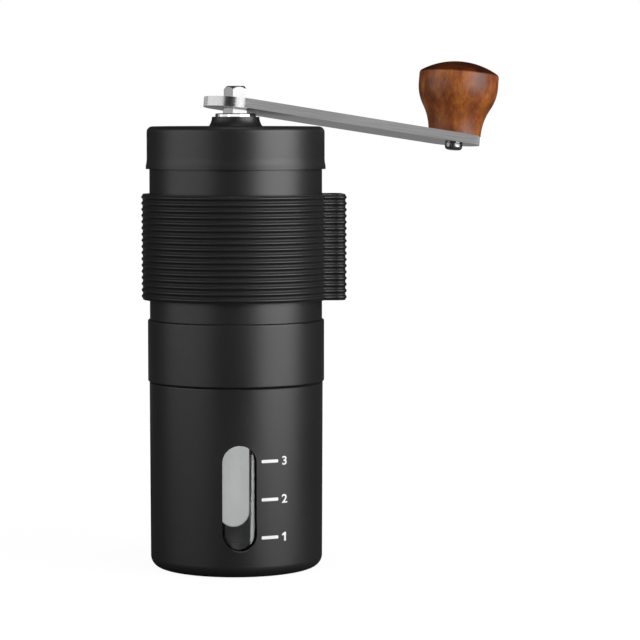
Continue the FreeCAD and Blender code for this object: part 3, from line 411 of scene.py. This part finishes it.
def tick_mesh(name, level):
    """A printed dash with rounded corners that follows the wall."""
    mesh = bmesh.new()
    straight = TICK_LENGTH - 2 * TICK_INSET
    runs = list(TICK_CORNER)
    runs += [TICK_INSET + straight * i / TICK_STEPS for i in range(TICK_STEPS + 1)]
    runs += [TICK_LENGTH - run for run in reversed(TICK_CORNER)]
    columns = []
    for run in runs:
        edge = min(run, TICK_LENGTH - run, TICK_ROUND)
        reach = TICK_HEIGHT / 2 - TICK_ROUND + math.sqrt(TICK_ROUND**2 - (TICK_ROUND - edge) ** 2)
        spots = ((-reach, PRINT_SINK), (-reach, PRINT_LIFT), (reach, PRINT_LIFT), (reach, PRINT_SINK))
        columns.append([mesh.verts.new(on_jar(TICK_START + run, level + z, lift)) for z, lift in spots])
    ring_faces(mesh, columns)
    mesh.faces.new(columns[0])
    mesh.faces.new(columns[-1][::-1])
    for face in mesh.faces:
        face.smooth = False
    bmesh.ops.recalc_face_normals(mesh, faces=mesh.faces)
    return finish_mesh(mesh, name, "jar", "print")


def digit_curve(name, digit):
    """A flat numeral: the 1 is drawn with a flag, and the others come from the plain built-in letters."""
    if digit == "1":
        curve = bpy.data.curves.new(name, "CURVE")
        curve.dimensions = "2D"
        curve.fill_mode = "BOTH"
        line = curve.splines.new("POLY")
        line.points.add(len(ONE_OUTLINE) - 1)
        for point, (x, y) in zip(line.points, ONE_OUTLINE):
            point.co = (x, y, 0, 1)
        line.use_cyclic_u = True
        return curve
    curve = bpy.data.curves.new(name, "FONT")
    curve.body = digit
    curve.align_x = "CENTER"
    curve.align_y = "CENTER"
    curve.size = DIGIT_HEIGHT / DIGIT_SHARE
    return curve


def digit_mesh(name, digit, level):
    """A plain printed numeral bent onto the wall."""
    curve = digit_curve(name, digit)
    curve.offset = DIGIT_WEIGHT
    curve.extrude = (PRINT_LIFT - PRINT_SINK) / 2
    text = bpy.data.objects.new(name + "_text", curve)
    scene.collection.objects.link(text)
    bpy.context.view_layer.update()
    data = bpy.data.meshes.new_from_object(text.evaluated_get(bpy.context.evaluated_depsgraph_get()))
    bpy.data.objects.remove(text)
    mesh = bmesh.new()
    mesh.from_mesh(data)
    bpy.data.meshes.remove(data)
    bmesh.ops.remove_doubles(mesh, verts=mesh.verts, dist=WELD_DISTANCE)
    low = min(v.co.y for v in mesh.verts)
    high = max(v.co.y for v in mesh.verts)
    grow = DIGIT_HEIGHT / (high - low)
    middle = (low + high) / 2
    for vert in mesh.verts:
        run = DIGIT_MIDDLE + vert.co.x * grow * DIGIT_SPREAD
        lift = PRINT_LIFT if vert.co.z > 0 else PRINT_SINK
        vert.co = on_jar(run, level + (vert.co.y - middle) * grow, lift)
    bmesh.ops.recalc_face_normals(mesh, faces=mesh.faces)
    return finish_mesh(mesh, name, "jar", "print")


prints = []
for digit, level in SCALE_MARKS:
    prints.append(tick_mesh(f"scale_tick_{digit}", level))
    prints.append(digit_mesh(f"scale_digit_{digit}", digit, level))


# Stage: white floor that keeps a soft shadow, and a white surround, in metres

FLOOR_RADIUS, FLOOR_SIDES, FLOOR_DROP = 4.0, 96, 0.2 * MM
FLOOR_TONE = 0.1
FLOOR_WHITE, WHITE_START, WHITE_END = 0.95, 0.05, 0.3
FLOOR_GLOSS, GLOSS_START, GLOSS_END = 0.33, 0.3, 0.6
GLOSS_INNER, GLOSS_OUTER = 0.15, 0.4
ROOM_LIGHT, ROOM_GLOSS = 0.3, 0.05
BACK_START, BACK_END = 0.975, 0.998


def feed(tree, socket, source):
    """Links a socket to another one, or sets its number."""
    if isinstance(source, bpy.types.NodeSocket):
        tree.links.new(source, socket)
    else:
        socket.default_value = source


def math_node(tree, kind, *sources):
    """The result of one sum on values or sockets."""
    node = tree.nodes.new("ShaderNodeMath")
    node.operation = kind
    for socket, source in zip(node.inputs, sources):
        feed(tree, socket, source)
    return node.outputs[0]


def choose(tree, share, first, second):
    """The first value where the share is 0, and the second where it is 1."""
    node = tree.nodes.new("ShaderNodeMix")
    sockets = {socket.identifier: socket for socket in node.inputs}
    for name, source in (("Factor_Float", share), ("A_Float", first), ("B_Float", second)):
        feed(tree, sockets[name], source)
    return node.outputs[0]


def smooth_step(tree, source, start, end, low, high):
    """A soft change from low to high while the source goes from start to end."""
    node = tree.nodes.new("ShaderNodeMapRange")
    node.interpolation_type = "SMOOTHSTEP"
    for socket, number in zip(("From Min", "From Max", "To Min", "To Max"), (start, end, low, high)):
        node.inputs[socket].default_value = number
    tree.links.new(source, node.inputs["Value"])
    return node.outputs["Result"]


def ray_kinds(tree):
    """1 for what the camera or a clear piece shows, and 1 for what a reflection shows."""
    path = tree.nodes.new("ShaderNodeLightPath")
    seen = math_node(tree, "MAXIMUM", path.outputs["Is Camera Ray"], path.outputs["Is Transmission Ray"])
    return seen, path.outputs["Is Glossy Ray"]


def place_of(tree, coords):
    """How far to the side something lies, along X, and how far back, along +Y."""
    split = tree.nodes.new("ShaderNodeSeparateXYZ")
    tree.links.new(tree.nodes.new("ShaderNodeTexCoord").outputs[coords], split.inputs[0])
    return split.outputs["X"], split.outputs["Y"]


def floor_look():
    """White to the camera, with a bright strip behind the object for reflections and a dim matte ground."""
    mat = bpy.data.materials.new("floor")
    mat.use_nodes = True
    tree = mat.node_tree
    tree.nodes.clear()
    seen, glossy = ray_kinds(tree)
    side, depth = place_of(tree, "Object")
    strip = smooth_step(tree, math_node(tree, "ABSOLUTE", side), GLOSS_INNER, GLOSS_OUTER, FLOOR_GLOSS, 0.0)
    patch = math_node(tree, "MULTIPLY", strip, smooth_step(tree, depth, GLOSS_START, GLOSS_END, 0.0, 1.0))
    shine = math_node(tree, "MULTIPLY", glossy, patch)
    paper = smooth_step(tree, depth, WHITE_START, WHITE_END, FLOOR_WHITE, 1.0)
    white = math_node(tree, "MULTIPLY", seen, paper)
    glow = tree.nodes.new("ShaderNodeEmission")
    tree.links.new(math_node(tree, "MAXIMUM", white, shine), glow.inputs["Strength"])
    matte = tree.nodes.new("ShaderNodeBsdfDiffuse")
    matte.inputs["Color"].default_value = (FLOOR_TONE, FLOOR_TONE, FLOOR_TONE, 1)
    both = tree.nodes.new("ShaderNodeAddShader")
    tree.links.new(glow.outputs[0], both.inputs[0])
    tree.links.new(matte.outputs[0], both.inputs[1])
    out = tree.nodes.new("ShaderNodeOutputMaterial")
    tree.links.new(both.outputs[0], out.inputs["Surface"])
    return mat


def make_floor():
    """A round floor just under the jar."""
    mesh = bmesh.new()
    bmesh.ops.create_circle(mesh, cap_ends=True, radius=FLOOR_RADIUS, segments=FLOOR_SIDES)
    data = bpy.data.meshes.new("floor")
    mesh.to_mesh(data)
    mesh.free()
    floor = bpy.data.objects.new("floor", data)
    floor.location = (0, 0, -FLOOR_DROP)
    scene.collection.objects.link(floor)
    data.materials.append(floor_look())


def make_world():
    """White behind the object, and a dim room for the light and for reflections."""
    world = bpy.data.worlds.new("surround")
    scene.world = world
    world.use_nodes = True
    tree = world.node_tree
    back = tree.nodes["Background"]
    back.inputs["Color"].default_value = (1, 1, 1, 1)
    seen, glossy = ray_kinds(tree)
    depth = place_of(tree, "Generated")[1]
    mirrored = smooth_step(tree, depth, BACK_START, BACK_END, ROOM_GLOSS, 1.0)
    room = choose(tree, glossy, ROOM_LIGHT, mirrored)
    tree.links.new(choose(tree, seen, room, 1.0), back.inputs["Strength"])


make_floor()
make_world()


# Softboxes: angles in degrees from the camera's side towards +X, sizes in metres, powers in watts

VIEW_TURN = math.radians(-2.1)
AIM = Vector((0, 0, 0.09))


def light_group(name, pieces, state):
    """The pieces that a lamp reaches (INCLUDE) or spares (EXCLUDE)."""
    group = bpy.data.collections.new(name)
    for piece in pieces:
        group.objects.link(piece)
    for row in group.collection_objects:
        row.light_linking.link_state = state
    return group


def softbox(name, reach, turn, width, power, tall=0.6, height=0.2, distance=0.8):
    """A lamp that is aimed at the object's middle and lights the pieces in its reach."""
    lamp = bpy.data.lights.new(name, "AREA")
    lamp.shape = "RECTANGLE"
    lamp.size = width
    lamp.size_y = tall
    lamp.energy = power
    thing = bpy.data.objects.new(name, lamp)
    angle = math.radians(turn) + VIEW_TURN
    thing.location = (distance * math.sin(angle), -distance * math.cos(angle), height)
    thing.rotation_euler = (AIM - thing.location).to_track_quat("-Z", "Y").to_euler()
    thing.light_linking.receiver_collection = reach
    scene.collection.objects.link(thing)


all_but_bar = light_group("all_but_bar", [nodes["crank_arm"]], "EXCLUDE")
all_but_steel = light_group("all_but_steel", [nodes["crank_arm"], nodes["drive_shaft"]], "EXCLUDE")
bar_alone = light_group("bar_alone", [nodes["crank_arm"]], "INCLUDE")
bright_steel = light_group("bright_steel", [nodes["drive_shaft"], nodes["lid_bush"]], "INCLUDE")
window_side = light_group("window_side", [nodes["jar_liner"]], "INCLUDE")
scale_print = light_group("scale_print", prints, "INCLUDE")
softbox("key", all_but_steel, turn=56, width=0.86, power=5.5, tall=0.55, height=0.26)
softbox("fill", all_but_steel, turn=-66, width=1.1, power=1.87, tall=0.55, height=0.24)
softbox("top", all_but_bar, turn=10, width=0.5, power=0.6, tall=0.5, height=0.95, distance=0.25)
softbox("bar_side", bar_alone, turn=100, width=1.9, power=2.8)
softbox("bar_front", bar_alone, turn=26, width=0.5, power=2.6)
softbox("bar_left", bar_alone, turn=-80, width=1.4, power=4.8)
softbox("bar_top", bar_alone, turn=200, width=1.6, power=3.0, tall=1.6, height=1.0, distance=0.3)
softbox("bar_back", bar_alone, turn=180, width=2.4, power=6.0, tall=0.8, height=0.55)
softbox("steel_card", bright_steel, turn=5, width=1.9, power=6.2, tall=0.8)
softbox("steel_left", bright_steel, turn=-100, width=0.6, power=0.45)
softbox("print_card", scale_print, turn=32, width=0.31, power=2.6)
softbox("window_card", window_side, turn=30, width=0.037, power=0.034, tall=0.05, height=0.017, distance=0.09)


# Camera at the photo's place, in metres and in pixels of its frame: axis left of the middle, horizon above it

CAMERA_DISTANCE = 0.8
CAMERA_HEIGHT = 0.133
CLIP_START = 0.01
FOCAL_PX = 2567.0
IMAGE_PX = 640.0
AXIS_PX = 235.9
HORIZON_PX = 140.55
SENSOR_MM = 36.0

camera_data = bpy.data.cameras.new("camera")
camera_data.sensor_width = SENSOR_MM
camera_data.lens = SENSOR_MM * FOCAL_PX / IMAGE_PX
camera_data.clip_start = CLIP_START
camera = bpy.data.objects.new("camera", camera_data)
camera.location = (CAMERA_DISTANCE * math.sin(VIEW_TURN), -CAMERA_DISTANCE * math.cos(VIEW_TURN),
                   CAMERA_HEIGHT)
down = math.atan((IMAGE_PX / 2 - HORIZON_PX) / FOCAL_PX)
aside = math.atan((IMAGE_PX / 2 - AXIS_PX) / FOCAL_PX)
camera.rotation_euler = Euler((math.pi / 2 - down, 0, VIEW_TURN - aside), "XYZ")
scene.collection.objects.link(camera)
scene.camera = camera
